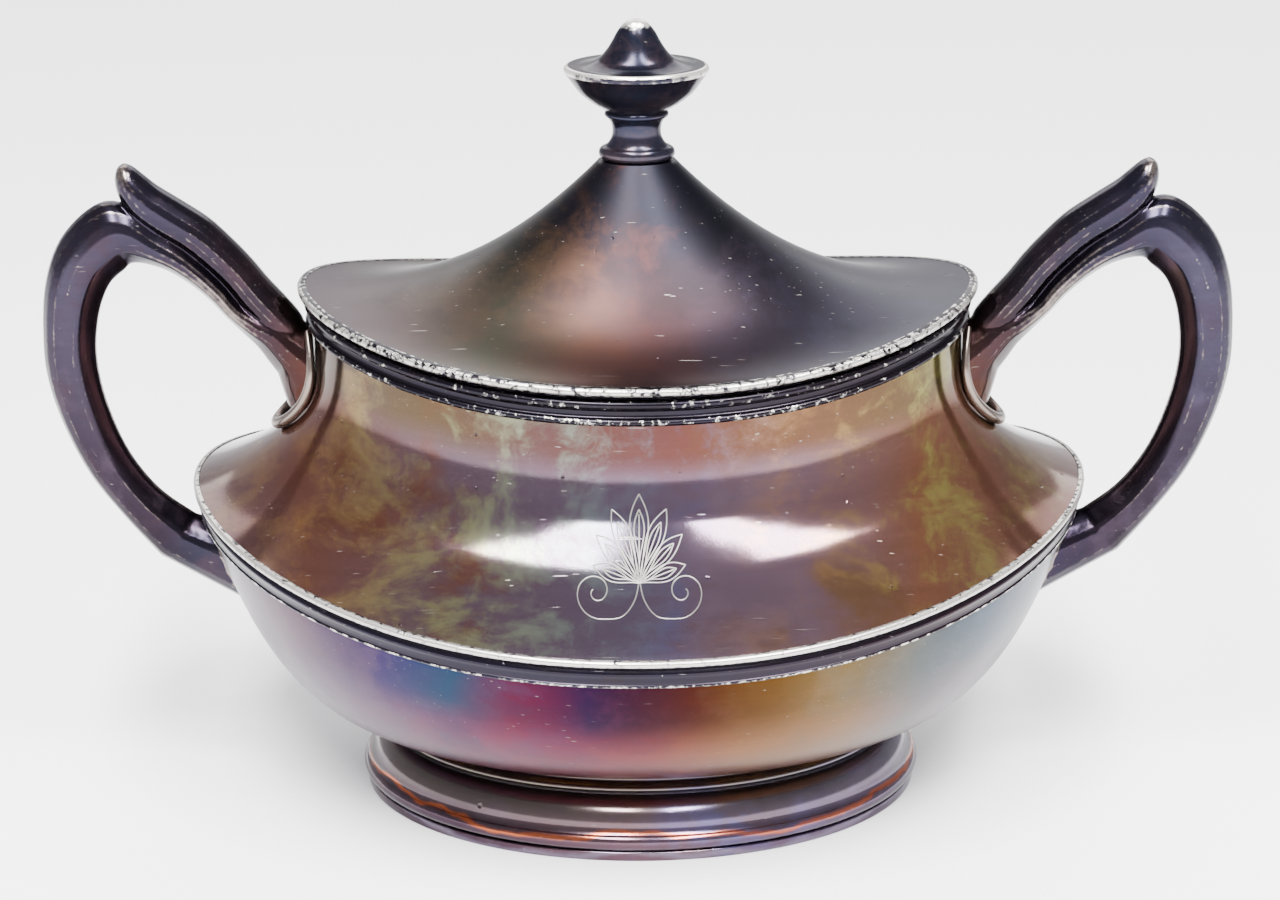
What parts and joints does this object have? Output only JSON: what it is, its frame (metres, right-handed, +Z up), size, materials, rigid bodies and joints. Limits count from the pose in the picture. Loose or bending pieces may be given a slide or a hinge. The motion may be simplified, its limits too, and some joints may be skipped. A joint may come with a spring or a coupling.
{
  "type": "covered sugar bowl",
  "caption": "Oval boat-shaped metal bowl on a stepped foot, with two looped handles and a lift-off lid with a knob.",
  "frame": {"origin": "centre of the foot, on the surface that the bowl stands on", "axes": "+X along the two handles, towards the right handle; -Y is the front; +Z up, along the lid's lift"},
  "size_m": [0.1768, 0.1016, 0.1193],
  "materials": {
    "belly_sheet": "silver plate, iridescent tarnish",
    "shoulder_sheet": "silver plate, brown and gold tarnish",
    "lid_sheet": "silver plate, satin dark tarnish",
    "foot_sheet": "silver plate, dark tarnish",
    "worn_wire": "silver plate, worn bright on its edges",
    "handle_casting": "silver plated casting, gunmetal tarnish",
    "knob_casting": "silver plated casting, near-black tarnish with a worn rim",
    "fastener": "plain nickel"
  },
  "bodies": {
    "bowl": {"lower_bowl": "belly_sheet", "upper_body": "shoulder_sheet", "girdle_moulding": "worn_wire", "mouth_collar": "worn_wire", "foot_ring": "foot_sheet", "foot_base_wire": "foot_sheet", "left_handle": "handle_casting", "right_handle": "handle_casting", "left_handle_socket": "handle_casting", "right_handle_socket": "handle_casting"},
    "lid": {"lid_shell": "lid_sheet", "lid_rim_wire": "worn_wire", "lid_bezel": "lid_sheet", "finial_knob": "knob_casting", "finial_stud": "fastener", "finial_washer": "fastener", "finial_nut": "fastener"}
  },
  "joints": [
    {"name": "lid_lift", "type": "slide", "parent": "bowl", "child": "lid", "axis": [0, 0, 1], "range_m": [0, 0.06]}
  ]
}
